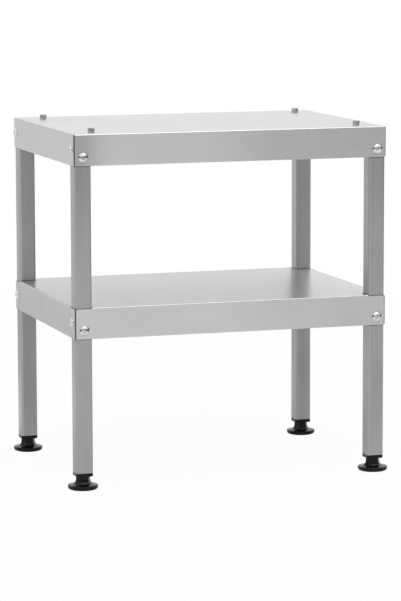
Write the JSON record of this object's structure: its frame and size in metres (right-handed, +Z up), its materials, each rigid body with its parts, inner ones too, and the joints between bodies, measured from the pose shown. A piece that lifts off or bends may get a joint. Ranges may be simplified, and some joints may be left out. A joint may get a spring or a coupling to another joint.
{
  "type": "smoker stand",
  "caption": "Steel stand with a folded sheet top and lower shelf on square tube legs, screw-adjusted levelling feet, and pins on top that locate a smoker cabinet.",
  "frame": {"origin": "on the floor under the middle of the stand", "axes": "+Z up, front towards -Y, +X to the right seen from the front"},
  "size_m": [0.435, 0.32, 0.461],
  "materials": {
    "tray_sheet": "satin",
    "leg_tube": "satin",
    "plated_hardware": "bright plated",
    "pin_steel": "turned",
    "black_moulding": "moulded satin"
  },
  "bodies": {
    "stand": {"top_tray": "tray_sheet", "lower_shelf": "tray_sheet", "top_front_rear_screws": "plated_hardware", "top_side_screws": "plated_hardware", "shelf_front_rear_screws": "plated_hardware", "shelf_side_screws": "plated_hardware", "leg_front_left": "leg_tube", "leg_inserts_front_left": "plated_hardware", "locating_pin_front_left": "pin_steel", "leg_plug_front_left": "black_moulding", "plug_nut_front_left": "plated_hardware", "leg_front_right": "leg_tube", "leg_inserts_front_right": "plated_hardware", "locating_pin_front_right": "pin_steel", "leg_plug_front_right": "black_moulding", "plug_nut_front_right": "plated_hardware", "leg_rear_left": "leg_tube", "leg_inserts_rear_left": "plated_hardware", "locating_pin_rear_left": "pin_steel", "leg_plug_rear_left": "black_moulding", "plug_nut_rear_left": "plated_hardware", "leg_rear_right": "leg_tube", "leg_inserts_rear_right": "plated_hardware", "locating_pin_rear_right": "pin_steel", "leg_plug_rear_right": "black_moulding", "plug_nut_rear_right": "plated_hardware"},
    "stud_front_left": {"foot_stud_front_left": "plated_hardware"},
    "foot_front_left": {"foot_base_front_left": "black_moulding"},
    "stud_front_right": {"foot_stud_front_right": "plated_hardware"},
    "foot_front_right": {"foot_base_front_right": "black_moulding"},
    "stud_rear_left": {"foot_stud_rear_left": "plated_hardware"},
    "foot_rear_left": {"foot_base_rear_left": "black_moulding"},
    "stud_rear_right": {"foot_stud_rear_right": "plated_hardware"},
    "foot_rear_right": {"foot_base_rear_right": "black_moulding"}
  },
  "joints": [
    {"name": "foot_lift_front_left", "type": "slide", "parent": "stand", "child": "stud_front_left", "axis": [0, 0, -1], "range_m": [0, 0.015]},
    {"name": "foot_turn_front_left", "type": "hinge", "parent": "stud_front_left", "child": "foot_front_left", "pos_m": [-0.198, -0.1405, 0], "axis": [0, 0, -1], "range_deg": [0, 4320]},
    {"name": "foot_lift_front_right", "type": "slide", "parent": "stand", "child": "stud_front_right", "axis": [0, 0, -1], "range_m": [0, 0.015]},
    {"name": "foot_turn_front_right", "type": "hinge", "parent": "stud_front_right", "child": "foot_front_right", "pos_m": [0.198, -0.1405, 0], "axis": [0, 0, -1], "range_deg": [0, 4320]},
    {"name": "foot_lift_rear_left", "type": "slide", "parent": "stand", "child": "stud_rear_left", "axis": [0, 0, -1], "range_m": [0, 0.015]},
    {"name": "foot_turn_rear_left", "type": "hinge", "parent": "stud_rear_left", "child": "foot_rear_left", "pos_m": [-0.198, 0.1405, 0], "axis": [0, 0, -1], "range_deg": [0, 4320]},
    {"name": "foot_lift_rear_right", "type": "slide", "parent": "stand", "child": "stud_rear_right", "axis": [0, 0, -1], "range_m": [0, 0.015]},
    {"name": "foot_turn_rear_right", "type": "hinge", "parent": "stud_rear_right", "child": "foot_rear_right", "pos_m": [0.198, 0.1405, 0], "axis": [0, 0, -1], "range_deg": [0, 4320]}
  ],
  "couplings": [
    {"joint": "foot_turn_front_left", "follows": "foot_lift_front_left", "rad_per_m": 5026.5},
    {"joint": "foot_turn_front_right", "follows": "foot_lift_front_right", "rad_per_m": 5026.5},
    {"joint": "foot_turn_rear_left", "follows": "foot_lift_rear_left", "rad_per_m": 5026.5},
    {"joint": "foot_turn_rear_right", "follows": "foot_lift_rear_right", "rad_per_m": 5026.5}
  ]
}
